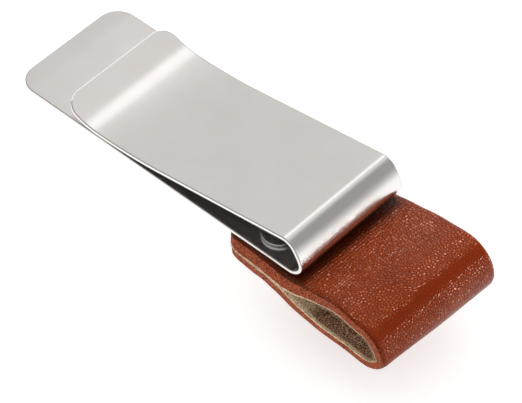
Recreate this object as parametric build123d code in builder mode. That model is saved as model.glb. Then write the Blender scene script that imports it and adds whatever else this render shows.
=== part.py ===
from build123d import *
import math
import os

# Pen-loop clip: a folded spring-steel strip that grips a notebook cover, with a folded leather
# strip riveted under its closed end as a loop for a pen. Millimetres.
#
# Frame: +X runs from the open jaw towards the pen loop, +Z is up, and the width is along Y.
# The origin is the middle of the grip line, on the face of the lower leaf that the arm presses on.

# Spring strip
strip_width = 20.0
strip_thickness = 0.6
bend_inner_radius = 2.45
jaw_depth = 34.5  # grip line to the axis of the bend
leaf_overhang = 15.5  # lower leaf beyond the grip line
leaf_corner_radius = 3.2
arm_slope = 9.6  # degrees, where the arm leaves the bend
grip_gap = 0.1  # under the arm at the grip line
lip_reach = 6.3  # grip line to the end of the turned-up lip
lip_angle = 38.0  # degrees, at the end of the lip
lip_corner_radius = 2.7

# Leather strip: lengths are from the axis of the bend, along the strip
leather_width = 21.0
leather_thickness = 2.0
leather_skew = -2.0  # degrees about Z, as it was riveted
leather_gap = 0.05  # under the steel
upper_end = -9.8  # cut end of the upper layer
lower_end = -9.3  # cut end of the lower layer
clamp_end = -3.4  # the layers lie flat up to here
neck_slope = 15.0  # degrees down, just past the clamped stretch
wall_slope = 12.5  # degrees up, along the upper wall of the loop
top_radius = 9.0  # grain side, where the upper layer turns down
neck_radius = 5.0  # grain side, where the upper layer turns up again
crown_radius = 22.0
crown = 14.6  # highest line of the loop
fold_radius = 4.7  # grain side, upper half of the fold
sole_radius = 24.0  # flesh side, where the lower wall levels out
sole_height = -7.25  # underside of the loop, from the gripping face of the leaf
neck_start = -0.8  # the layers flex between these two lines
neck_end = 2.8
end_rounding = 0.8  # lower corner of the cut ends

# Rivets
rivet_setback = 4.3  # behind the axis of the bend
rivet_spacing = 12.4
head_radius = 2.5
head_height = 0.55
post_radius = 1.1
post_clearance = 0.05  # in the steel
cap_radius = 2.6
cap_height = 0.9
cap_sink = 0.35  # depth that the cap is pressed into the leather
chamber_radius = 1.5  # inside the cap
chamber_depth = 0.6

# Derived sizes
slope = math.radians(arm_slope)
arc_radius = (
    jaw_depth * math.sin(slope)
    + grip_gap * math.cos(slope)
    - bend_inner_radius * (1 + math.cos(slope))
) / (1 - math.cos(slope))
lip_radius = lip_reach / math.sin(math.radians(lip_angle))
heel_start = jaw_depth + upper_end - 0.6
leather_top = -strip_thickness - leather_gap
leather_bottom = leather_top - 2 * leather_thickness
cap_top = leather_bottom + cap_sink
rivet_x = jaw_depth - rivet_setback
near_spot = (rivet_x, -rivet_spacing / 2)
far_spot = (rivet_x, rivet_spacing / 2)
skew = math.radians(leather_skew)

# Side planes: sketch X runs along the strip and sketch Y is up
steel_side = Plane(origin=(0, 0, 0), x_dir=(1, 0, 0), z_dir=(0, -1, 0))
leather_side = Plane(
    origin=(jaw_depth, 0, 0),
    x_dir=(math.cos(skew), math.sin(skew), 0),
    z_dir=(math.sin(skew), -math.cos(skew), 0),
)

os.makedirs("parts", exist_ok=True)


def save(part, name):
    """Label a finished piece and write its STEP file."""
    part.label = name
    export_step(part, f"parts/{name}.step")


# ---- Spring strip ----

# Flat lower leaf, from its open end to the edge of the leather
with BuildPart() as clip_leaf:
    with BuildSketch(Plane.XY.offset(-strip_thickness)):
        with Locations(((heel_start - leaf_overhang) / 2, 0)):
            Rectangle(heel_start + leaf_overhang, strip_width)
    extrude(amount=strip_thickness)
    fillet(clip_leaf.edges().filter_by(Axis.Z).group_by(Axis.X)[0], leaf_corner_radius)
save(clip_leaf.part, "clip_leaf")

# Heel: the rest of the flat, over the leather, with a hole for each rivet
with BuildPart() as clip_heel:
    with BuildSketch(Plane.XY.offset(-strip_thickness)):
        with Locations(((heel_start + jaw_depth) / 2, 0)):
            Rectangle(jaw_depth - heel_start, strip_width)
        with Locations(near_spot, far_spot):
            Circle(post_radius + post_clearance, mode=Mode.SUBTRACT)
    extrude(amount=strip_thickness)
save(clip_heel.part, "clip_heel")


def curved_stretch(centre, inner_radius, start, sweep):
    """Part of the strip rolled about an axis along Y; angles in degrees from +X."""
    with BuildPart() as stretch:
        with BuildSketch(steel_side):
            with BuildLine():
                inner = CenterArc(centre, inner_radius, start, sweep)
                outer = CenterArc(centre, inner_radius + strip_thickness, start, sweep)
                Line(inner @ 0, outer @ 0)
                Line(inner @ 1, outer @ 1)
            make_face()
        extrude(amount=strip_width / 2, both=True)
    return stretch.part


# The bend is in two halves, which meet at its outermost line, where it flexes
bend_axis = (jaw_depth, bend_inner_radius)
save(curved_stretch(bend_axis, bend_inner_radius, -90, 90), "clip_bend_lower")
save(curved_stretch(bend_axis, bend_inner_radius, 0, 90 + arm_slope), "clip_bend_upper")

# Arm: straight from the bend, then one long curve down to the grip line
with BuildPart() as clip_arm:
    with BuildSketch(steel_side):
        with BuildLine():
            arc_centre = (0, grip_gap + arc_radius)
            low_arc = CenterArc(arc_centre, arc_radius, -90, arm_slope)
            high_arc = CenterArc(arc_centre, arc_radius - strip_thickness, -90, arm_slope)
            bend_end = (
                jaw_depth - bend_inner_radius * math.sin(slope),
                bend_inner_radius * (1 + math.cos(slope)),
            )
            low_line = Line(low_arc @ 1, bend_end)
            high_line = PolarLine(high_arc @ 1, low_line.length, arm_slope)
            Line(low_arc @ 0, high_arc @ 0)
            Line(low_line @ 1, high_line @ 1)
        make_face()
    extrude(amount=strip_width / 2, both=True)
save(clip_arm.part, "clip_arm")

# Lip: turns up beyond the grip line, so that a cover can enter the jaw
with BuildPart() as clip_lip:
    lip_axis = (0, grip_gap + lip_radius)
    add(curved_stretch(lip_axis, lip_radius - strip_thickness, -90, -lip_angle))
    end_face = clip_lip.faces().filter_by(GeomType.PLANE).sort_by(Axis.X)[0]
    fillet(end_face.edges().filter_by(Axis.Y, reverse=True), lip_corner_radius)
save(clip_lip.part, "clip_lip")

# ---- Leather strip ----

# Each section is drawn along the grain side of the leather, which is its outer face, and is
# one thickness deep. Upper layer: flat under the heel, a shallow dip at the neck, then the
# upper wall of the loop, rising to the crown.
with BuildSketch(leather_side) as upper_layer:
    with BuildLine() as grain_side:
        upper_flat = Line((upper_end, leather_top), (clamp_end, leather_top))
        turn_down = JernArc(upper_flat @ 1, (1, 0), top_radius, -neck_slope)
        turn_up = JernArc(turn_down @ 1, turn_down % 1, neck_radius, neck_slope + wall_slope)
        crown_run = crown_radius * math.sin(math.radians(wall_slope))
        wall_run = crown - crown_run - (turn_up @ 1).X
        upper_wall = PolarLine(
            turn_up @ 1, wall_run / math.cos(math.radians(wall_slope)), wall_slope
        )
        crown_arc = JernArc(upper_wall @ 1, upper_wall % 1, crown_radius, -wall_slope)
        offset(amount=leather_thickness, side=Side.RIGHT)
    make_face()

# Fold: a wide quarter turn over the top and a tighter one back under
crown_height = (crown_arc @ 1).Y
under_radius = crown_height - fold_radius - sole_height
with BuildSketch(leather_side) as fold:
    with BuildLine():
        over = JernArc((crown, crown_height), (1, 0), fold_radius, -90)
        under = JernArc(over @ 1, (0, -1), under_radius, -90)
        offset(amount=leather_thickness, side=Side.RIGHT)
    make_face()

# Lower layer: the same again underneath, sloping down to the level sole of the loop
with BuildSketch(leather_side) as lower_layer:
    with BuildLine():
        lower_flat = Line((lower_end, leather_bottom), (clamp_end, leather_bottom))
        lower_turn = JernArc(
            lower_flat @ 1, (1, 0), top_radius - 2 * leather_thickness, -neck_slope
        )
        sole_fall = sole_radius * (1 - math.cos(math.radians(neck_slope)))
        lower_fall = (lower_turn @ 1).Y - sole_height - sole_fall
        lower_wall = PolarLine(
            lower_turn @ 1, lower_fall / math.sin(math.radians(neck_slope)), -neck_slope
        )
        sole_arc = JernArc(lower_wall @ 1, lower_wall % 1, sole_radius, neck_slope)
        Line(sole_arc @ 1, under @ 1)
        offset(amount=leather_thickness, side=Side.LEFT)
    make_face()


def leather_piece(section, start, end):
    """The stretch of one layer between two lines across the strip."""
    with BuildPart() as piece:
        extrude(section.sketch, amount=leather_width / 2, both=True)
        for line, keep in ((start, Keep.TOP), (end, Keep.BOTTOM)):
            if line is not None:
                cut = Plane(
                    origin=leather_side.from_local_coords((line, 0, 0)),
                    z_dir=leather_side.x_dir,
                )
                split(bisect_by=cut, keep=keep)
    return piece.part


# Two layers clamped by the rivets
with BuildPart() as tab_upper:
    add(leather_piece(upper_layer, None, neck_start))
    with Locations(near_spot, far_spot):
        Hole(post_radius)
save(tab_upper.part, "tab_upper")

with BuildPart() as tab_lower:
    add(leather_piece(lower_layer, None, neck_start))
    with Locations(near_spot, far_spot):
        Hole(post_radius)
    with BuildSketch(Plane.XY.offset(cap_top)):
        with Locations(near_spot, far_spot):
            Circle(cap_radius)
    extrude(amount=-cap_height, mode=Mode.SUBTRACT)
    end_corner = tab_lower.faces().sort_by(Axis.X)[0].edges().sort_by(Axis.Z)[0]
    fillet(end_corner, end_rounding)
save(tab_lower.part, "tab_lower")

# Neck: the stretch that flexes when the loop is bent up or down
save(leather_piece(upper_layer, neck_start, neck_end), "neck_upper")
save(leather_piece(lower_layer, neck_start, neck_end), "neck_lower")

# Pen loop
save(leather_piece(upper_layer, neck_end, None), "loop_upper_wall")
save(leather_piece(fold, None, None), "loop_fold")
save(leather_piece(lower_layer, neck_end, None), "loop_lower_wall")

# ---- Rivets ----

rim_height = 0.25  # upright part of the head's edge
head_flat = head_radius - (head_height - rim_height)


def rivet_stud(spot):
    """Head inside the jaw, and the post, whose end is spread inside the cap."""
    with BuildPart() as stud:
        with BuildSketch(Plane(origin=(*spot, 0), x_dir=(1, 0, 0), z_dir=(0, -1, 0))):
            with BuildLine():
                Polyline(
                    (head_flat, head_height),
                    (0, head_height),
                    (0, cap_top - chamber_depth),
                    (chamber_radius - post_clearance, cap_top - chamber_depth),
                    (post_radius, cap_top),
                    (post_radius, 0),
                    (head_radius, 0),
                    (head_radius, rim_height),
                )
                RadiusArc(
                    (head_radius, rim_height),
                    (head_flat, head_height),
                    -(head_height - rim_height),
                )
            make_face()
        revolve(axis=Axis((*spot, 0), (0, 0, 1)))
    return stud.part


def rivet_cap(spot):
    """Domed cap on the underside, hollow for the end of the post."""
    dome_top = cap_top - cap_height
    with BuildPart() as cap:
        with BuildSketch(Plane(origin=(*spot, 0), x_dir=(1, 0, 0), z_dir=(0, -1, 0))):
            with BuildLine():
                Polyline(
                    (0, dome_top),
                    (0, cap_top - chamber_depth),
                    (chamber_radius, cap_top - chamber_depth),
                    (chamber_radius, cap_top),
                    (cap_radius, cap_top),
                    (cap_radius, leather_bottom),
                )
                TangentArc((0, dome_top), (cap_radius, leather_bottom), tangent=(1, 0))
            make_face()
        revolve(axis=Axis((*spot, 0), (0, 0, 1)))
    return cap.part


for side, spot in (("near", near_spot), ("far", far_spot)):
    save(rivet_stud(spot), f"{side}_rivet_stud")
    save(rivet_cap(spot), f"{side}_rivet_cap")
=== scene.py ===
import math
import random

import bmesh
import bpy
from mathutils import Matrix, Vector, noise


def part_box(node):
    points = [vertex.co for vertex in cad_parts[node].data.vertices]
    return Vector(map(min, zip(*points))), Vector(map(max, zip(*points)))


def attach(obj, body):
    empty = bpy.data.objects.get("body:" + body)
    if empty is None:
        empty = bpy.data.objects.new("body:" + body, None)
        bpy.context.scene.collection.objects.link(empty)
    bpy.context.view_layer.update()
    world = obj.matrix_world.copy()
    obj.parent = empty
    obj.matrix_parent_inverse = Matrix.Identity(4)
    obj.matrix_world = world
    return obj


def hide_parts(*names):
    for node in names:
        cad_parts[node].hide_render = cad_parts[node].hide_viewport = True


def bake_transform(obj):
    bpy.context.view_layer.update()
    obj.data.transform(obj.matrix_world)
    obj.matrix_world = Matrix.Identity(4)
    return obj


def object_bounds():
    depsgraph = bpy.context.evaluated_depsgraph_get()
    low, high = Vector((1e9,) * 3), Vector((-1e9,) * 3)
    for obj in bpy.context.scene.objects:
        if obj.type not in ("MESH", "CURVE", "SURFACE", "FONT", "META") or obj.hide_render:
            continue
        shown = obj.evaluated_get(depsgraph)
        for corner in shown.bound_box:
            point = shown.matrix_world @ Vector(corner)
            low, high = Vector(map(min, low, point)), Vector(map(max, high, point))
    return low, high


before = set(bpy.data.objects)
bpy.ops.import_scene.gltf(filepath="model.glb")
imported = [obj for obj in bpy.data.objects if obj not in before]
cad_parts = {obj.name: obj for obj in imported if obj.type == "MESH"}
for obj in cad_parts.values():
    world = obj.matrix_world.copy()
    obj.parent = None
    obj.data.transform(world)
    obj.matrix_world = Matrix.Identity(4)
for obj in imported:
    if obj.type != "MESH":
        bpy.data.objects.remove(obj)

# Pen-loop clip: a folded strip of brushed spring steel, and a leather loop riveted under its
# closed end. +X runs from the jaw to the loop, +Z is up. Lengths are in metres; MM makes them
# readable, and the frame's own boxes give every length that the CAD model has a node for.

MM = 0.001
cad_low, cad_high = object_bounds()


# ---- Lines in a side view ----


class Route:
    """A line made of straight and round stretches, each given as (length, turn in radians)."""

    def __init__(self, start, heading, stretches):
        self.stretches = []
        self.length = 0.0
        x, z = start
        for length, turn in stretches:
            self.stretches.append((self.length, x, z, heading, turn / length))
            x, z, heading = self._follow(self.stretches[-1], length)
            self.length += length

    @staticmethod
    def _follow(stretch, ahead):
        _, x, z, heading, curve = stretch
        if abs(curve) < 1e-9:
            return x + ahead * math.cos(heading), z + ahead * math.sin(heading), heading
        turned = heading + curve * ahead
        x += (math.sin(turned) - math.sin(heading)) / curve
        z -= (math.cos(turned) - math.cos(heading)) / curve
        return x, z, turned

    def at(self, along):
        """Point and heading at a distance along the line."""
        before = [s for s in self.stretches if s[0] <= along] or self.stretches[:1]
        return self._follow(before[-1], along - before[-1][0])

    def off(self, along, left):
        """Point to the left of the line, and the heading there."""
        x, z, heading = self.at(along)
        return x - left * math.sin(heading), z + left * math.cos(heading), heading


def ease(value, low, high):
    """0 below low, 1 above high, smooth between."""
    t = min(max((value - low) / (high - low), 0.0), 1.0)
    return t * t * (3 - 2 * t)


def round_over(distance, radius):
    """How far a rounded corner lies inside its faces, at a distance from the outer face."""
    if distance >= radius:
        return 0.0
    return radius - math.sqrt(max(radius**2 - (radius - distance) ** 2, 0.0))


# ---- Mesh helpers ----


def new_object(name, data):
    """An object in the scene, for a mesh, a light or a camera."""
    piece = bpy.data.objects.new(name, data)
    bpy.context.scene.collection.objects.link(piece)
    return piece


def mesh_from(name, verts, faces):
    """A smooth-shaded mesh."""
    mesh = bpy.data.meshes.new(name)
    mesh.from_pydata(verts, [], faces)
    mesh.validate()
    mesh.shade_smooth()
    return mesh


def set_points(mesh, name, kind, values):
    """Store a value for each vertex, as numbers or as vectors."""
    attribute = mesh.attributes.new(name, kind, "POINT")
    if kind == "FLOAT_VECTOR":
        attribute.data.foreach_set("vector", [c for v in values for c in v])
    else:
        attribute.data.foreach_set("value", values)


def lathe(name, outline, spot, turns=72):
    """Closed round piece from its outline, a list of (radius, height) from axis to axis."""
    bm = bmesh.new()
    first = bm.verts.new((spot[0], spot[1], outline[0][1]))
    last = bm.verts.new((spot[0], spot[1], outline[-1][1]))
    rings = []
    for radius, height in outline[1:-1]:
        circle = arc_points(spot, radius, 0, 360, turns)[:-1]
        rings.append([bm.verts.new((x, y, height)) for x, y in circle])
    for i in range(turns):
        j = (i + 1) % turns
        bm.faces.new((first, rings[0][i], rings[0][j]))
        bm.faces.new((last, rings[-1][j], rings[-1][i]))
        for inner, outer in zip(rings, rings[1:]):
            bm.faces.new((inner[i], outer[i], outer[j], inner[j]))
    bmesh.ops.recalc_face_normals(bm, faces=bm.faces)
    mesh = bpy.data.meshes.new(name)
    bm.to_mesh(mesh)
    bm.free()
    mesh.shade_smooth()
    return new_object(name, mesh)


def arc_points(centre, radius, start, end, steps):
    """Points of a flat arc about a centre, with its ends given in degrees."""
    points = []
    for i in range(steps + 1):
        a = math.radians(start + (end - start) * i / steps)
        points.append((centre[0] + radius * math.cos(a), centre[1] + radius * math.sin(a)))
    return points


# ---- Material helpers ----


class Shader:
    """Short ways to wire a material's nodes."""

    def __init__(self, name):
        self.material = bpy.data.materials.new(name)
        self.material.use_nodes = True
        self.tree = self.material.node_tree
        self.surface = self.tree.nodes["Principled BSDF"]

    def node(self, kind, settings=None, **inputs):
        made = self.tree.nodes.new(kind)
        for key, value in (settings or {}).items():
            setattr(made, key, value)
        for key, value in inputs.items():
            self.wire(made.inputs[key.replace("_", " ")], value)
        return made

    def wire(self, socket, value):
        if isinstance(value, bpy.types.NodeSocket):
            self.tree.links.new(value, socket)
        else:
            socket.default_value = value

    def set(self, **inputs):
        for key, value in inputs.items():
            self.wire(self.surface.inputs[key.replace("_", " ")], value)

    def attribute(self, name, output):
        return self.node("ShaderNodeAttribute", {"attribute_name": name}).outputs[output]

    def math(self, operation, *values):
        made = self.node("ShaderNodeMath", {"operation": operation})
        for socket, value in zip(made.inputs, values):
            self.wire(socket, value)
        return made.outputs[0]

    def scaled(self, vector, scale):
        made = self.node("ShaderNodeMapping", Vector=vector)
        made.inputs["Scale"].default_value = scale
        return made.outputs[0]

    def noise(self, vector, scale, detail=3.0, roughness=0.55):
        return self.node(
            "ShaderNodeTexNoise",
            Vector=vector,
            Scale=scale,
            Detail=detail,
            Roughness=roughness,
        ).outputs[0]

    def remap(self, value, low, high, to_low=0.0, to_high=1.0):
        made = self.node("ShaderNodeMapRange", {"interpolation_type": "SMOOTHSTEP"})
        for socket, number in zip(made.inputs, (value, low, high, to_low, to_high)):
            self.wire(socket, number)
        return made.outputs[0]

    def blend(self, share, first, second):
        made = self.node("ShaderNodeMix", {"data_type": "RGBA"})
        self.wire(made.inputs[0], share)
        self.wire(made.inputs[6], first)
        self.wire(made.inputs[7], second)
        return made.outputs[2]

    def bump(self, height, distance, strength=1.0, normal=None):
        made = self.node("ShaderNodeBump", Height=height, Distance=distance, Strength=strength)
        if normal is not None:
            self.wire(made.inputs["Normal"], normal)
        return made.outputs[0]


# ---- Materials ----
# Patterns follow "strip", a vertex attribute in millimetres: along the strip, across it, and
# through it. So they keep their scale round the bends and stay put when a joint moves.

STEEL_WARM = (0.79, 0.757, 0.742, 1)
STEEL_COOL = (0.80, 0.79, 0.775, 1)
STEEL_CORNER_DARK_REFLECTION = (0.12, 0.118, 0.115, 1)
STEEL_END_HIGHLIGHT = (1, 0.98, 0.96, 1)
NICKEL_TONES = ((0.42, 0.415, 0.41, 1), (0.50, 0.495, 0.49, 1))


def steel_material():
    """Fine lines along the strip in faint clouds, a painted dark reflection along the thin rounded
    corners, and a painted highlight on the lip's end edge.
    """
    s = Shader("brushed_spring_steel")
    strip = s.attribute("strip", "Vector")
    brushed = s.noise(s.scaled(strip, (0.35, 9.0, 9.0)), 1.0, 4.0, 0.6)
    fine = s.noise(s.scaled(strip, (1.2, 30.0, 30.0)), 1.0, 2.0, 0.5)
    cloudy = s.noise(strip, 0.16, 2.0, 0.5)
    tone = s.blend(s.remap(cloudy, 0.3, 0.7), STEEL_WARM, STEEL_COOL)

    edge = s.attribute("edge", "Fac")
    # Painted dark reflection: the rounded corners of the edges are coloured dark, standing in for
    # the darkness they mirror.
    corner = s.math("SUBTRACT", s.remap(edge, 0.05, 0.3), s.remap(edge, 0.75, 0.95))
    tone = s.blend(s.math("MULTIPLY", corner, 0.75), tone, STEEL_CORNER_DARK_REFLECTION)
    along = s.node("ShaderNodeSeparateXYZ", Vector=strip).outputs[0]
    # Painted highlight: the rounded end edge of the lip is coloured near white, standing in for
    # the light it catches.
    lip_end_highlight = s.remap(along, steel_route.length / MM - 0.9, steel_route.length / MM - 0.6)
    tone = s.blend(s.math("MULTIPLY", lip_end_highlight, s.remap(edge, 0.0, 0.1)), tone, STEEL_END_HIGHLIGHT)

    rough = s.math(
        "ADD", s.remap(brushed, 0.3, 0.7, 0.205, 0.22), s.remap(fine, 0.3, 0.7, 0.0, 0.015)
    )
    waves = s.bump(cloudy, 0.06 * MM, 0.35)
    lines = s.math("ADD", brushed, s.math("MULTIPLY", fine, 0.3))
    relief = s.bump(lines, 0.0002 * MM, 1.0, waves)
    s.set(Base_Color=tone, Metallic=1.0, Roughness=rough, Normal=relief)
    return s.material


def rivet_material():
    """Plain plated metal, a little cloudy and scuffed."""
    s = Shader("nickel_plated_rivet")
    place = s.node("ShaderNodeTexCoord").outputs["Object"]
    scuffs = s.noise(place, 2500.0, 4.0, 0.6)
    clouds = s.noise(place, 500.0, 2.0, 0.5)
    s.set(
        Base_Color=s.blend(s.remap(clouds, 0.3, 0.7), *NICKEL_TONES),
        Metallic=1.0,
        Roughness=s.remap(scuffs, 0.3, 0.7, 0.26, 0.34),
        Normal=s.bump(scuffs, 0.001 * MM, 0.6),
    )
    return s.material


GRAIN_RISE = ((0.150, 0.021, 0.003, 1), (0.175, 0.027, 0.0035, 1))
GRAIN_VALLEY_SHADE = ((0.076, 0.0065, 0.001, 1), (0.092, 0.009, 0.0015, 1))
GRAIN_STRETCHED_SHADE = (0.100, 0.0085, 0.001, 1)
GRAIN_BEND_SHADE = (0.022, 0.004, 0.0015, 1)
CUT_TONES = ((0.13, 0.015, 0.006, 1), (0.50, 0.125, 0.055, 1))
FLESH_TONES = ((0.045, 0.018, 0.009, 1), (0.24, 0.105, 0.052, 1))
FLESH_SPECK = (0.85, 0.60, 0.40, 1)
FIBRE_TONES = ((0.42, 0.25, 0.13, 1), (0.70, 0.55, 0.34, 1))
CREAM_TONES = ((0.42, 0.24, 0.13, 1), (0.98, 0.80, 0.56, 1))
LEATHER_TINT = (1.0, 0.56, 0.38, 1)


def stretched_shaded_band(s, strip, along):
    """1 on the band where the fold stretches the grain smooth and where painted shade darkens it,
    with uneven borders.
    """
    fold_start = leather_route.stretches[FOLD_STRETCH][0] / MM
    uneven = s.math("ADD", along, s.math("MULTIPLY", s.noise(strip, 0.7, 3.0, 0.6), 3.0))
    return s.math(
        "SUBTRACT",
        s.remap(uneven, fold_start + 2.0, fold_start + 4.0),
        s.remap(uneven, fold_start + 4.5, fold_start + 6.3),
    )


def leather_grain(s, strip, pores):
    """Colour and height of the grain: domed pebbles half a millimetre across, finer pores, and
    rows of cross creases by the neck. The valleys between the pebbles carry painted shade, and
    the grain is painted darkest next to the steel's bend, as the bend's shade."""
    along = s.node("ShaderNodeSeparateXYZ", Vector=strip).outputs[0]
    pebbles = s.node(
        "ShaderNodeTexVoronoi",
        {"feature": "DISTANCE_TO_EDGE", "voronoi_dimensions": "2D"},
        Vector=s.scaled(strip, (2.2, 2.3, 1.0)),
        Scale=1.0,
        Randomness=1.0,
    ).outputs["Distance"]
    dome = s.remap(pebbles, -0.05, 0.4)
    drift = s.noise(s.scaled(strip, (0.5, 0.35, 1.0)), 1.0, 2.0, 0.5)
    rows = s.math(
        "SINE", s.math("ADD", s.math("MULTIPLY", along, 11.5), s.math("MULTIPLY", drift, 16.0))
    )
    stretched_and_shaded = stretched_shaded_band(s, strip, along)
    crease = s.attribute("crease", "Fac")
    pebble_height = s.math("MULTIPLY", dome, s.remap(stretched_and_shaded, 0.0, 1.0, 1.0, 0.45))
    relief = s.math(
        "ADD",
        s.math("ADD", pebble_height, s.math("MULTIPLY", pores, 0.06)),
        s.math("MULTIPLY", s.math("MULTIPLY", rows, crease), 0.7),
    )
    patches = s.remap(s.noise(strip, 0.22, 2.0, 0.5), 0.3, 0.7)
    rise = s.blend(patches, *GRAIN_RISE)
    # Painted shade: the valleys between the pebbles are coloured darker than their rises, as shade
    # in the grain's hollows.
    valley_shade = s.blend(patches, *GRAIN_VALLEY_SHADE)
    tone = s.blend(s.remap(dome, 0.05, 0.75), valley_shade, rise)
    # Painted shade: the stretched band is coloured darker, standing in for the little light it
    # reflects; its flatter pebbles are real.
    tone = s.blend(s.math("MULTIPLY", stretched_and_shaded, 0.7), tone, GRAIN_STRETCHED_SHADE)
    # Painted shade: the grain is coloured darker towards the steel's bend, standing in for the
    # shadow the bend casts.
    bend_shade = s.remap(along, 12.0, 15.8, 0.6, 0.0)
    return s.blend(bend_shade, tone, GRAIN_BEND_SHADE), relief


def leather_material():
    """Grain, cut edge and flesh side in one, shared out by the "cut" and "flesh" attributes."""
    s = Shader("pebbled_leather")
    strip = s.attribute("strip", "Vector")
    cut = s.attribute("cut", "Fac")
    flesh = s.attribute("flesh", "Fac")
    pores = s.noise(strip, 5.0, 3.0, 0.6)
    specks = s.noise(strip, 5.5, 3.0, 0.7)
    raggedness = s.math("SUBTRACT", specks, 0.5)
    grain_tone, grain_relief = leather_grain(s, strip, pores)

    # Cut edge: short fibres in tan and dark red
    edge_tone = s.blend(s.remap(specks, 0.43, 0.57), *CUT_TONES)
    is_cut = s.remap(s.math("ADD", cut, s.math("MULTIPLY", raggedness, 0.5)), 0.35, 0.65)
    tone = s.blend(is_cut, grain_tone, edge_tone)

    # Cream fibres where the flesh side begins
    cream = s.blend(s.remap(specks, 0.35, 0.55), *CREAM_TONES)
    pale = s.remap(s.math("ADD", flesh, s.math("MULTIPLY", raggedness, 0.35)), 0.3, 0.5)
    tone = s.blend(pale, tone, cream)

    # Flesh side: brown suede with pale specks
    mottle = s.noise(strip, 3.2, 3.0, 0.7)
    suede = s.blend(s.remap(mottle, 0.4, 0.56), *FLESH_TONES)
    suede = s.blend(s.remap(specks, 0.5, 0.6), suede, FLESH_SPECK)
    tone = s.blend(s.remap(flesh, 0.75, 0.98), tone, suede)

    raw = s.math("MAXIMUM", is_cut, pale)
    finish = s.remap(pores, 0.3, 0.7, 0.2, 0.25)
    rough = s.math("ADD", s.math("MULTIPLY", raw, 0.45), finish)
    fuzz = s.math("ADD", s.noise(strip, 9.0, 3.0, 0.7), specks)
    height = s.math(
        "ADD",
        s.math("MULTIPLY", grain_relief, s.math("SUBTRACT", 1.0, raw)),
        s.math("MULTIPLY", fuzz, s.math("MULTIPLY", raw, 1.6)),
    )
    s.set(
        Base_Color=tone,
        Roughness=rough,
        Specular_IOR_Level=0.2,
        Specular_Tint=LEATHER_TINT,
        Normal=s.bump(height, 0.06 * MM, 1.0),
    )
    return s.material


def fibre_material():
    """Pale loose fibres, each a little different."""
    s = Shader("leather_fibre")
    place = s.node("ShaderNodeTexCoord").outputs["Object"]
    tint = s.noise(place, 1800.0, 2.0, 0.5)
    tone = s.blend(s.remap(tint, 0.35, 0.65), *FIBRE_TONES)
    s.set(Base_Color=tone, Roughness=s.remap(tint, 0.3, 0.7, 0.7, 0.85))
    return s.material


# ---- Spring strip ----

leaf_low, leaf_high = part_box("clip_leaf")
heel_bend_low, heel_bend_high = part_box("clip_bend_lower")
steel_thickness = leaf_high.z - leaf_low.z
steel_width = leaf_high.y - leaf_low.y
overhang = -leaf_low.x
jaw_depth = heel_bend_low.x
bend_radius = heel_bend_high.z
slope = math.asin((jaw_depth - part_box("clip_bend_upper")[0].x) / (bend_radius + steel_thickness))
grip_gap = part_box("clip_arm")[0].z
lip_reach = -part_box("clip_lip")[0].x
LIP_ANGLE = math.radians(38)
LEAF_CORNER = 3.2 * MM
LIP_CORNER = 2.7 * MM
EDGE_ROUNDING = 0.16 * MM
BEND_HEADINGS = (0, 80, 111, 128, 156)  # degrees, where the bend's radius changes
BEND_RADII = (2.2 * MM, 1.35 * MM, None, 2.3 * MM, 1.9 * MM)  # the open one is worked out
HEEL_CUT = 1.0 * MM  # the leaf's piece ends this far before the axis of the bend
ARM_CUT = 2.0 * MM  # the arm's piece starts this far past the end of the bend

half_steel = steel_thickness / 2
arm_radius = (
    jaw_depth * math.sin(slope)
    + grip_gap * math.cos(slope)
    - bend_radius * (1 + math.cos(slope))
) / (1 - math.cos(slope))
lip_radius = lip_reach / math.sin(LIP_ANGLE)


def bend_stretches():
    """The bend as five round stretches: tight at its outermost line and flattened above it.

    Its outermost line and the line of the arm are the frame's, which leaves the radius of the
    flattened part to be worked out. Returns where the bend starts, its stretches, and the
    length of the straight part of the arm."""
    headings = [math.radians(a) for a in BEND_HEADINGS] + [math.pi + slope]
    radii = list(BEND_RADII)
    rises = [math.cos(a) - math.cos(b) for a, b in zip(headings, headings[1:])]
    runs = [math.sin(b) - math.sin(a) for a, b in zip(headings, headings[1:])]
    known = [i for i, radius in enumerate(radii) if radius]
    start = heel_bend_high.x - half_steel - radii[0] * runs[0] - radii[1] * (1 - runs[0])
    mid_radius = bend_radius + half_steel
    arm_x = jaw_depth - mid_radius * math.sin(slope)
    arm_z = bend_radius + mid_radius * math.cos(slope)
    rise = sum(radii[i] * rises[i] for i in known)
    run = sum(radii[i] * runs[i] for i in known)
    short = arm_z + half_steel + (start + run - arm_x) * math.tan(slope) - rise
    radii[2] = short / (rises[2] - runs[2] * math.tan(slope))
    arm_start = start + run + radii[2] * runs[2]
    stretches = [
        (radius * (b - a), b - a) for radius, a, b in zip(radii, headings, headings[1:])
    ]
    arm_run = (arm_start - (arm_radius - half_steel) * math.sin(slope)) / math.cos(slope)
    return start, stretches, arm_run


bend_start, bend_parts, arm_run = bend_stretches()
leaf_run = overhang + bend_start
bend_run = sum(length for length, _ in bend_parts)
steel_route = Route(
    (-overhang, -half_steel),
    0.0,
    [
        (leaf_run, 0.0),
        *bend_parts,
        (arm_run, 0.0),
        ((arm_radius - half_steel) * slope, -slope),
        ((lip_radius - half_steel) * LIP_ANGLE, -LIP_ANGLE),
    ],
)


def steel_stations():
    """Places where the flat strip is divided, close together where it curves."""
    places = set()
    for start, end, step in (
        (LEAF_CORNER, leaf_run, 1.6 * MM),
        (leaf_run, leaf_run + bend_run, 0.16 * MM),
        (leaf_run + bend_run, steel_route.length - LIP_CORNER, 0.8 * MM),
        (steel_route.length - LIP_CORNER, steel_route.length - 2 * EDGE_ROUNDING, 0.4 * MM),
    ):
        count = max(1, round((end - start) / step))
        places.update(round(start + (end - start) * i / count, 7) for i in range(count + 1))
    return sorted(places)


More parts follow.
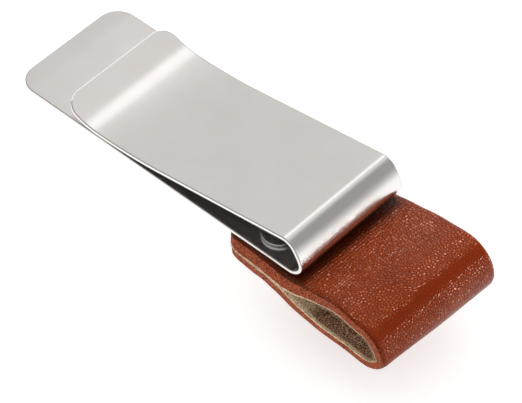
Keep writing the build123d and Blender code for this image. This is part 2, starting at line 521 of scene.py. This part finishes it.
def steel_outline(inset):
    """The strip's outline in plan, with its rounded corners, moved inwards by inset."""
    points = []
    for x, radius, side, start in (
        (steel_route.length, LIP_CORNER, 1, 0),
        (0, LEAF_CORNER, 1, 90),
        (0, LEAF_CORNER, -1, 180),
        (steel_route.length, LIP_CORNER, -1, 270),
    ):
        centre_x = abs(x - radius)
        centre_y = side * (steel_width / 2 - radius)
        points += arc_points((centre_x, centre_y), radius - inset, start, start + 90, 14)
    return points


def flat_steel():
    """The strip before it is bent, with its edges rounded over: X along, Y across, Z through."""
    steps = 5
    bm = bmesh.new()
    rings = []
    for side in (-1, 1):
        for i in range(steps + 1):
            angle = math.pi / 2 * (i if side > 0 else steps - i) / steps
            inset = EDGE_ROUNDING * (1 - math.cos(angle))
            height = side * (half_steel - EDGE_ROUNDING * (1 - math.sin(angle)))
            rings.append([bm.verts.new((x, y, height)) for x, y in steel_outline(inset)])
    count = len(rings[0])
    for low_ring, high_ring in zip(rings, rings[1:]):
        for i in range(count):
            j = (i + 1) % count
            bm.faces.new((low_ring[i], low_ring[j], high_ring[j], high_ring[i]))
    bm.faces.new(rings[-1])
    bm.faces.new(rings[0][::-1])
    margin = EDGE_ROUNDING + 0.1 * MM  # cuts beside the edges keep the faces flat in shading
    cuts = [((station, 0, 0), (1, 0, 0)) for station in steel_stations()]
    cuts += [((x, 0, 0), (1, 0, 0)) for x in (margin, steel_route.length - margin)]
    cuts += [((0, side * (steel_width / 2 - margin), 0), (0, 1, 0)) for side in (-1, 1)]
    for place, normal in cuts:
        everything = bm.verts[:] + bm.edges[:] + bm.faces[:]
        bmesh.ops.bisect_plane(bm, geom=everything, dist=1e-7, plane_co=place, plane_no=normal)
    for flat_face in bm.faces:
        flat_face.smooth = True
    flat = bpy.data.meshes.new("flat_strip")
    bm.to_mesh(flat)
    bm.free()
    return flat


def rounded_edge(height):
    """How far round the rounded edge a height on the flat strip is: 0 on a face, 1 on the side."""
    sine = (abs(height) - half_steel + EDGE_ROUNDING) / EDGE_ROUNDING
    return math.sqrt(1 - min(max(sine, 0.0), 1.0) ** 2)


def steel_piece(name, flat, start, end, material):
    """The stretch of the flat strip from start to end, rolled along its route."""
    bm = bmesh.new()
    bm.from_mesh(flat)
    for place, outward in ((start, -1), (end, 1)):
        if 0 < place < steel_route.length:
            everything = bm.verts[:] + bm.edges[:] + bm.faces[:]
            cut = bmesh.ops.bisect_plane(
                bm,
                geom=everything,
                plane_co=(place, 0, 0),
                plane_no=(outward, 0, 0),
                clear_outer=True,
            )
            rim = [e for e in cut["geom_cut"] if isinstance(e, bmesh.types.BMEdge)]
            bmesh.ops.edgeloop_fill(bm, edges=rim)
            for edge in rim:
                edge.smooth = False
    bmesh.ops.recalc_face_normals(bm, faces=bm.faces)
    mesh = bpy.data.meshes.new(name)
    bm.to_mesh(mesh)
    bm.free()
    set_points(mesh, "strip", "FLOAT_VECTOR", [tuple(v.co / MM) for v in mesh.vertices])
    set_points(mesh, "edge", "FLOAT", [rounded_edge(v.co.z) for v in mesh.vertices])
    for vert in mesh.vertices:
        x, z, _ = steel_route.off(vert.co.x, vert.co.z)
        vert.co = (x, vert.co.y, z)
    mesh.update()
    mesh.materials.append(material)
    piece = new_object(name, mesh)
    return piece


def make_steel(material):
    """The strip in three pieces: the leaf, the bend, and the arm with its lip."""
    flat = flat_steel()
    heel_cut = overhang + jaw_depth - HEEL_CUT
    arm_cut = leaf_run + bend_run + ARM_CUT
    leaf = steel_piece("strip_leaf", flat, 0, heel_cut, material)
    bend = steel_piece("strip_bend", flat, heel_cut, arm_cut, material)
    arm = steel_piece("strip_arm", flat, arm_cut, steel_route.length, material)
    bpy.data.meshes.remove(flat)
    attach(leaf, "clip_body")
    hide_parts("clip_leaf", "clip_heel")
    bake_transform(bend)
    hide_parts("clip_bend_lower", "clip_bend_upper")
    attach(arm, "spring_arm")
    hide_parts("clip_arm", "clip_lip")


# ---- Leather strip ----

SKEW = math.radians(-2)  # the strip was riveted a little askew
LEATHER_WIDTH = 21 * MM
LEATHER_THICKNESS = 1.97 * MM
LAYER_PITCH = 2 * MM
UPPER_END = -9.8 * MM  # the cut ends, measured along the clip from the axis of the bend
LOWER_END = -9.6 * MM
CLAMP_END = -3.4 * MM  # where both layers start to turn down
CROWN = 14.6 * MM  # the loop's highest line
TOP_RADIUS = 9 * MM  # of the grain side, where it turns down from the heel
NECK_RADIUS = 5 * MM  # in the hollow behind the bend
CROWN_RADIUS = 22 * MM
FOLD_RADIUS = 4.7 * MM  # of the fold's upper half; the lower half closes the loop
SOLE_RADIUS = 24 * MM  # where the underside rises to the heel
NECK_SLOPE = math.radians(15)  # of both layers, down from the heel
WALL_SLOPE = math.radians(12.5)  # of the upper wall, up to the crown
GRAIN_ROUNDING = 0.55 * MM  # along the edge of the grain side
FLESH_ROUNDING = 0.12 * MM
CORNER_ROUNDING = 1.3 * MM  # in plan, at the cut ends
END_ROUNDING = 0.4 * MM  # through the thickness, at the cut ends
PARING = 0.35 * MM  # how much thinner the leather is at the near mouth of the loop
SAG = 1.5 * MM  # how far the near mouth has sunk
TUCK = 0.35 * MM  # how far the near end of the fold has moved back
WAVE = 0.10 * MM  # slow unevenness of the upper wall
UPPER_SPLAY = 0.85 * MM  # how far the near edges are pressed out under the heel
LOWER_SPLAY = 0.45 * MM
UNEVEN_CUT = 0.16 * MM  # slow wander of the cut edges
CUT_ROUGHNESS = 0.07 * MM
WRINKLE = 0.07 * MM  # cross wrinkles of the grain in the neck
SUEDE_LUMPS = 0.13 * MM  # on the flesh side
FACE_COLUMNS = 84  # points of a cross-section along each face
EDGE_COLUMNS = 14  # and along each cut edge
FOLD_STRETCH = 5  # the first of the fold's stretches in leather_line

leather_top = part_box("tab_upper")[1].z
leather_bottom = leather_top - 2 * LAYER_PITCH
crown_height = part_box("loop_fold")[1].z
sole_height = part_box("loop_fold")[0].z
leather_space = Matrix.Translation((jaw_depth, 0, 0)) @ Matrix.Rotation(SKEW, 4, "Z")


def leather_line():
    """The grain side of the strip, from the upper cut end round the loop to the lower one."""
    under_radius = (crown_height - sole_height) - FOLD_RADIUS
    wall_start = (
        CLAMP_END
        + TOP_RADIUS * math.sin(NECK_SLOPE)
        + NECK_RADIUS * (math.sin(NECK_SLOPE) + math.sin(WALL_SLOPE))
    )
    wall_run = CROWN - CROWN_RADIUS * math.sin(WALL_SLOPE) - wall_start
    lower_radius = TOP_RADIUS - 2 * LAYER_PITCH
    turned_down = leather_bottom - lower_radius * (1 - math.cos(NECK_SLOPE))
    levelled = sole_height + SOLE_RADIUS * (1 - math.cos(NECK_SLOPE))
    fall = turned_down - levelled
    sole_end = (
        CLAMP_END
        + (lower_radius + SOLE_RADIUS) * math.sin(NECK_SLOPE)
        + fall / math.tan(NECK_SLOPE)
    )
    return Route(
        (UPPER_END, leather_top),
        0.0,
        [
            (CLAMP_END - UPPER_END, 0.0),
            (TOP_RADIUS * NECK_SLOPE, -NECK_SLOPE),
            (NECK_RADIUS * (NECK_SLOPE + WALL_SLOPE), NECK_SLOPE + WALL_SLOPE),
            (wall_run / math.cos(WALL_SLOPE), 0.0),
            (CROWN_RADIUS * WALL_SLOPE, -WALL_SLOPE),
            (FOLD_RADIUS * math.pi / 2, -math.pi / 2),
            (under_radius * math.pi / 2, -math.pi / 2),
            (CROWN + FOLD_RADIUS - under_radius - sole_end, 0.0),
            (SOLE_RADIUS * NECK_SLOPE, -NECK_SLOPE),
            (fall / math.sin(NECK_SLOPE), 0.0),
            (lower_radius * NECK_SLOPE, NECK_SLOPE),
            (CLAMP_END - LOWER_END, 0.0),
        ],
    )


leather_route = leather_line()
fold_middle = leather_route.stretches[FOLD_STRETCH + 1][0]


def settle(u, v, z):
    """Where a point of the evenly made loop ends up: its near mouth has sagged with wear."""
    near = ease(-v, -2 * MM, LEATHER_WIDTH / 2)
    upper = ease(z, -5.5 * MM, -1.5 * MM)
    sag = SAG * near * upper * ease(u, 8.5 * MM, 16.5 * MM)
    tuck = TUCK * near * ease(u, 14 * MM, 18 * MM)
    wave = WAVE * noise.noise(Vector((u, v, 7 * MM)) / (7 * MM)) * ease(u, 1 * MM, 5 * MM)
    return u - tuck, v, z - sag + wave * upper


def leather_point(along, v, depth):
    """Point of the leather in the frame, from its place along, across and through the strip."""
    u, z, _ = leather_route.off(along, -depth)
    return leather_space @ Vector(settle(u, v, z))


def side_reach(along, side, depth):
    """How far the strip reaches to one side; side is -1 for the near edge."""
    reach = LEATHER_WIDTH / 2
    reach += UNEVEN_CUT * noise.noise(Vector((along / (4 * MM), side * 3.1, 0)))
    u = leather_route.at(along)[0]
    upper = along < fold_middle
    splay = ease(u, UPPER_END, -7 * MM) - ease(u, 1 * MM, 10 * MM)
    if side < 0 and upper:
        reach += splay * UPPER_SPLAY * (depth / LEATHER_THICKNESS - 0.15)
    if side < 0 and not upper:
        reach += splay * LOWER_SPLAY
    return reach - round_over(min(along, leather_route.length - along), CORNER_ROUNDING)


def leather_ring(along):
    """One cross-section: rows of (v, depth, cut, flesh), round the strip."""
    inset = round_over(min(along, leather_route.length - along), END_ROUNDING)
    u = leather_route.at(along)[0]
    around_loop = ease(u, 2 * MM, 6 * MM)
    neck = 1 - ease(u, 4 * MM, 6.5 * MM)
    layer_paring = 1.0 if along > fold_middle else 0.45
    ring = []

    def thickness(side):
        """The leather is pared a little thinner towards the near mouth of the loop."""
        return LEATHER_THICKNESS - PARING * around_loop * layer_paring * (side < 0)

    def edge_point(side, share):
        """Point of a cut edge, share of the way from the grain side to the flesh side."""
        thick = thickness(side)
        depth = inset + (thick - 2 * inset) * share
        reach = side_reach(along, side, depth) - inset
        reach -= round_over(share * thick, GRAIN_ROUNDING)
        reach -= round_over((1 - share) * thick, FLESH_ROUNDING)
        rough = noise.noise(Vector((along / MM * 2.6, side * 9 + share * 4, share * 5)))
        reach += CUT_ROUGHNESS * rough * ease(share, 0.1, 0.4)
        cut = ease(share, 0.14, 0.26)
        flesh = 0.5 * ease(share, 0.79, 0.88)
        return side * reach, depth, cut, flesh

    far_top = edge_point(1, 0.0)[0]
    near_top = edge_point(-1, 0.0)[0]
    far_low = edge_point(1, 1.0)[0]
    near_low = edge_point(-1, 1.0)[0]
    for i in range(FACE_COLUMNS):
        ring.append((far_top + (near_top - far_top) * i / FACE_COLUMNS, inset, 0.0, 0.0))
    for i in range(EDGE_COLUMNS):
        ring.append(edge_point(-1, i / EDGE_COLUMNS))
    for i in range(FACE_COLUMNS):
        v = near_low + (far_low - near_low) * i / FACE_COLUMNS
        pared = ease(-v, 4 * MM, LEATHER_WIDTH / 2)
        depth = thickness(1) + (thickness(-1) - thickness(1)) * pared - inset
        flesh = 0.55 + 0.45 * ease(v - near_low, 0, 0.4 * MM)
        ring.append((v, depth, 1.0, flesh - 0.15 * neck * pared))
    for i in range(EDGE_COLUMNS):
        ring.append(edge_point(1, 1 - i / EDGE_COLUMNS))
    return ring


def leather_places():
    """Where the strip's cross-sections stand, with a few more close to its cut ends."""
    count = round(leather_route.length / (0.22 * MM))
    places = [leather_route.length * i / count for i in range(count + 1)]
    for near_end in (0.03, 0.08, 0.15):
        places += [near_end * MM, leather_route.length - near_end * MM]
    return sorted(places)


def neck_crease(along):
    """1 where the upper layer dips behind the bend, and its grain creases across the strip."""
    if along >= fold_middle:
        return 0.0
    u = leather_route.at(along)[0]
    return ease(u, 1.5 * MM, 3.2 * MM) - ease(u, 5 * MM, 8 * MM)


def surface_lift(along, v, cut, flesh, crease):
    """How far small wrinkles and suede lumps stand out of the strip's even surface."""
    if flesh > 0.9:
        return -SUEDE_LUMPS * noise.noise(Vector((along, v, 0)) / (0.8 * MM))
    if cut < 0.5 and crease > 0:
        wrinkle = noise.noise(Vector((along / MM * 2.2, v / MM * 0.3, 3.0)))
        return WRINKLE * crease * wrinkle
    return 0.0


def make_leather(material):
    """The whole strip as one closed skin, lofted through its cross-sections."""
    places = leather_places()
    verts, strip, cuts, fleshes, creases = [], [], [], [], []
    for along in places:
        crease = neck_crease(along)
        for v, depth, cut, flesh in leather_ring(along):
            lift = surface_lift(along, v, cut, flesh, crease)
            verts.append(leather_point(along, v, depth - lift))
            strip.append((along / MM, v / MM, depth / MM))
            cuts.append(cut)
            fleshes.append(flesh)
            creases.append(crease)
    around = 2 * (FACE_COLUMNS + EDGE_COLUMNS)
    last = (len(places) - 1) * around
    faces = [tuple(range(around)), tuple(reversed(range(last, last + around)))]
    for low in range(0, last, around):
        for c in range(around):
            d = (c + 1) % around
            faces.append((low + c, low + d, low + around + d, low + around + c))
    mesh = mesh_from("leather_strip", verts, faces)
    set_points(mesh, "strip", "FLOAT_VECTOR", strip)
    set_points(mesh, "cut", "FLOAT", cuts)
    set_points(mesh, "flesh", "FLOAT", fleshes)
    set_points(mesh, "crease", "FLOAT", creases)
    bm = bmesh.new()
    bm.from_mesh(mesh)
    bmesh.ops.recalc_face_normals(bm, faces=bm.faces)
    bm.to_mesh(mesh)
    bm.free()
    mesh.materials.append(material)
    return flex_with_loop(new_object("leather_strip", mesh))


def flex_with_loop(piece):
    """Bakes the piece's place into its mesh, and returns it."""
    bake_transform(piece)
    return piece


FIBRE_COUNT = 1500
FIBRE_SIDES = 3
NEAR_FIBRES = 0.7  # share of them on the near edge, which is the more worn


def fibre_points(root, tip, middle, outward, width):
    """Points of one spike: a triangle at its root, a smaller one half way, and its tip."""
    aside = outward.cross(Vector((0.3, 0.2, 1))).normalized()
    above = outward.cross(aside).normalized()
    points = []
    for spot, size in ((root, 1.0), (middle, 0.8)):
        for turn in range(FIBRE_SIDES):
            a = turn * 2 * math.pi / FIBRE_SIDES
            offset = (aside * math.cos(a) + above * math.sin(a)) * width * size
            points.append(spot + offset)
    return points + [tip]


def fibre_faces(first):
    """Faces of one spike, whose points start at an index."""
    tip = first + 2 * FIBRE_SIDES
    faces = []
    for turn in range(FIBRE_SIDES):
        low, low_next = first + turn, first + (turn + 1) % FIBRE_SIDES
        high, high_next = low + FIBRE_SIDES, low_next + FIBRE_SIDES
        faces.append((low, low_next, high_next, high))
        faces.append((high, high_next, tip))
    faces.append(tuple(reversed(range(first, first + FIBRE_SIDES))))
    return faces


def make_fibres(material):
    """Loose fibres along the flesh corners of the cut edges, each a thin tapered spike."""
    rng = random.Random(11)
    verts, faces = [], []
    for _ in range(FIBRE_COUNT):
        side = -1 if rng.random() < NEAR_FIBRES else 1
        along = rng.uniform(0.5 * MM, leather_route.length - 0.5 * MM)
        share = 1 - abs(rng.gauss(0, 0.12))
        depth = LEATHER_THICKNESS * max(share, 0.3)
        v = side * (side_reach(along, side, depth) - 0.12 * MM)
        root = leather_point(along, v, depth)
        reach = rng.uniform(0.12, 0.42) * MM
        lean = Vector((rng.uniform(-0.7, 0.7), side * 0.75, rng.uniform(-0.5, 0.5)))
        outward = leather_space.to_3x3() @ lean
        tip = root + outward.normalized() * (reach + 0.1 * MM)
        middle = (root + tip) / 2 + Vector([rng.uniform(-0.05, 0.05) * MM for _ in range(3)])
        width = rng.uniform(0.014, 0.026) * MM
        faces += fibre_faces(len(verts))
        verts += fibre_points(root, tip, middle, outward, width)
    mesh = mesh_from("leather_fibres", verts, faces)
    mesh.materials.append(material)
    return flex_with_loop(new_object("leather_fibres", mesh))


# ---- Rivets ----

SHANK_RADIUS = 1.1 * MM
SHANK_FLARE = 0.3 * MM  # where the end of the shank is spread in the cap
FLARE_HEIGHT = 0.5 * MM
HEAD_RIM = 0.05 * MM  # rounding of the head's rim
CAP_WALL = 0.4  # share of the cap's depth that is its straight wall


def stud_outline(low, high):
    """From the spread lower end of the shank up to the flat head on the leaf."""
    head = (high.x - low.x) / 2
    outline = [(0, low.z), (SHANK_RADIUS + SHANK_FLARE, low.z)]
    outline += [(SHANK_RADIUS, low.z + FLARE_HEIGHT), (SHANK_RADIUS, 0), (head, 0)]
    outline += arc_points((head - HEAD_RIM, high.z - HEAD_RIM), HEAD_RIM, 0, 88, 6)
    return outline + [(0.5 * head, high.z), (0, high.z)]


def cap_outline(low, high, steps=12):
    """From the flat upper side round the wall to the middle of the domed underside."""
    radius = (high.x - low.x) / 2
    depth = high.z - low.z
    wall_end = high.z - CAP_WALL * depth
    outline = [(0, high.z), (0.58 * radius, high.z), (radius, high.z), (radius, wall_end)]
    for i in range(1, steps):
        a = math.pi / 2 * i / steps
        outline.append((radius * math.cos(a), wall_end - (1 - CAP_WALL) * math.sin(a) * depth))
    return outline + [(0, low.z)]


def make_rivets(material):
    """Two studs with flat heads in the jaw, and their domed caps under the leather."""
    for side in ("near", "far"):
        for part, outline in (("stud", stud_outline), ("cap", cap_outline)):
            node = f"{side}_rivet_{part}"
            low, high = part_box(node)
            spot = ((low.x + high.x) / 2, (low.y + high.y) / 2)
            piece = lathe(f"{side}_{part}", outline(low, high), spot)
            piece.data.materials.append(material)
            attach(piece, "clip_body")
            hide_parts(node)


# ---- Studio ----

VIEW_AZIMUTH = math.radians(42.573)
VIEW_ELEVATION = math.radians(48.355)
VIEW_DISTANCE = 432.5 * MM
VIEW_TARGET = Vector((24.564, -3.687, 0)) * MM
LENS = 224.29  # focal length in millimetres
SENSOR = 36.0  # width in millimetres
FLOOR_GAP = 8 * MM  # room under the clip for the loop to bend down
WORLD_LIGHT = 0.82
GREYER_LIGHT = 0.73
GREYER_SIDE = Vector((-0.67, 0.49, 0.56))
GREYER_CORE = math.radians(10)  # fully grey up to here from the middle of that side
GREYER_RIM = math.radians(36)  # fading out up to here


def make_camera():
    """Long lens from the near right, half way up."""
    back = Vector(
        (
            math.sin(VIEW_AZIMUTH) * math.cos(VIEW_ELEVATION),
            -math.cos(VIEW_AZIMUTH) * math.cos(VIEW_ELEVATION),
            math.sin(VIEW_ELEVATION),
        )
    )
    data = bpy.data.cameras.new("camera")
    data.lens = LENS
    data.sensor_width = SENSOR
    data.clip_start = 0.01
    camera = new_object("camera", data)
    camera.location = VIEW_TARGET + back * VIEW_DISTANCE
    camera.rotation_mode = "QUATERNION"
    camera.rotation_quaternion = (-back).to_track_quat("-Z", "Y")
    bpy.context.scene.camera = camera


def rectangle(name, half_x, half_y, height=0.0):
    """A level sheet about the origin."""
    corners = [(-half_x, -half_y), (half_x, -half_y), (half_x, half_y), (-half_x, half_y)]
    return new_object(name, mesh_from(name, [(x, y, height) for x, y in corners], [(0, 1, 2, 3)]))


def make_floor():
    """White paper, lit from within a little so that it stays white beside the clip."""
    floor = rectangle("floor", 3.0, 3.0, cad_low.z - FLOOR_GAP)
    s = Shader("pale_floor")
    place = s.node("ShaderNodeTexCoord").outputs["Object"]
    paper = s.remap(s.noise(place, 900.0, 2.0), 0.3, 0.7)
    s.set(
        Base_Color=s.blend(paper, (0.93, 0.93, 0.93, 1), (0.95, 0.95, 0.95, 1)),
        Roughness=0.9,
        Emission_Color=(1, 1, 1, 1),
        Emission_Strength=0.46,
    )
    floor.data.materials.append(s.material)


def face(piece, place, target):
    """Put a light or a card at a place, with its face towards a target."""
    piece.location = place
    piece.rotation_mode = "QUATERNION"
    piece.rotation_quaternion = (place - target).to_track_quat("Z", "Y")


def softbox(name, place, target, size, brightness, only=()):
    """Rectangular light; brightness is its radiance. With only, it lights just those pieces."""
    data = bpy.data.lights.new(name, "AREA")
    data.shape = "RECTANGLE"
    data.size, data.size_y = size
    data.energy = brightness * math.pi * size[0] * size[1]
    light = new_object(name, data)
    face(light, place, target)
    if only:
        lit = bpy.data.collections.new(f"{name}_lit")
        for piece in only:
            lit.objects.link(piece)
        light.light_linking.receiver_collection = lit


def grey_card(place, target, half_width, half_height, shade):
    """Card that only shows in reflections, as a soft grey patch, like a flag beside a camera."""
    card = rectangle("card", half_width, half_height)
    face(card, place, target)
    s = Shader("grey_card")
    inner = s.node("ShaderNodeTexCoord").outputs["Object"]
    unit = s.scaled(inner, (1 / half_width, 1 / half_height, 1))
    radius = s.node("ShaderNodeVectorMath", {"operation": "LENGTH"})
    s.wire(radius.inputs[0], unit)
    grey = s.node("ShaderNodeEmission", Color=(1, 1, 0.98, 1), Strength=shade)
    clear = s.node("ShaderNodeBsdfTransparent")
    mixed = s.node("ShaderNodeMixShader")
    s.wire(mixed.inputs[0], s.remap(radius.outputs["Value"], 0.45, 1.0))
    s.wire(mixed.inputs[1], grey.outputs[0])
    s.wire(mixed.inputs[2], clear.outputs[0])
    output = s.tree.nodes["Material Output"]
    s.wire(output.inputs["Surface"], mixed.outputs[0])
    card.data.materials.append(s.material)
    card.visible_camera = False
    card.visible_diffuse = False
    card.visible_shadow = False


def make_world():
    """Even white surroundings, a little greyer where the arm mirrors them to the camera."""
    world = bpy.data.worlds.new("studio")
    world.use_nodes = True
    tree = world.node_tree
    toward = tree.nodes.new("ShaderNodeVectorMath")
    toward.operation = "DOT_PRODUCT"
    toward.inputs[1].default_value = GREYER_SIDE.normalized()
    place = tree.nodes.new("ShaderNodeTexCoord")
    tree.links.new(place.outputs["Generated"], toward.inputs[0])
    level = tree.nodes.new("ShaderNodeMapRange")
    level.interpolation_type = "SMOOTHSTEP"
    level.inputs["From Min"].default_value = math.cos(GREYER_RIM)
    level.inputs["From Max"].default_value = math.cos(GREYER_CORE)
    level.inputs["To Min"].default_value = WORLD_LIGHT
    level.inputs["To Max"].default_value = GREYER_LIGHT
    tree.links.new(toward.outputs["Value"], level.inputs["Value"])
    background = tree.nodes["Background"]
    background.inputs["Color"].default_value = (1.0, 0.985, 0.965, 1)
    tree.links.new(level.outputs["Result"], background.inputs["Strength"])
    bpy.context.scene.world = world


def make_studio(leather):
    """Two softboxes for everything, two that give the leather its glints, and a grey card."""
    make_camera()
    make_floor()
    make_world()
    bend = Vector((jaw_depth, 0, 5 * MM))
    loop = Vector((jaw_depth + CROWN, 0, crown_height))
    key = Vector((-90, 147, 236)) * MM
    low = bend + Vector((0.87, 0.49, 0.05)) * 0.7
    glint = loop + Vector((-0.29, 0.49, 0.82)) * 0.143
    rim = loop + Vector((0.87, 0.49, 0.08)) * 0.3
    card = bend + Vector((0.62, 0.49, 0.61)) * 34 * MM
    softbox("key", key, bend, (90 * MM, 90 * MM), 0.6)
    softbox("low", low, bend, (100 * MM, 100 * MM), 0.4)
    softbox("glint", glint, loop, (44 * MM, 44 * MM), 42, leather)
    softbox("rim", rim, loop, (80 * MM, 50 * MM), 60, leather)
    grey_card(card, bend, 31 * MM, 33 * MM, 0.37)
    bpy.context.scene.view_settings.view_transform = "Standard"


make_steel(steel_material())
leather = make_leather(leather_material())
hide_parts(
    "tab_upper",
    "tab_lower",
    "neck_upper",
    "neck_lower",
    "loop_upper_wall",
    "loop_fold",
    "loop_lower_wall",
)
fibres = make_fibres(fibre_material())
make_rivets(rivet_material())
make_studio([leather, fibres])
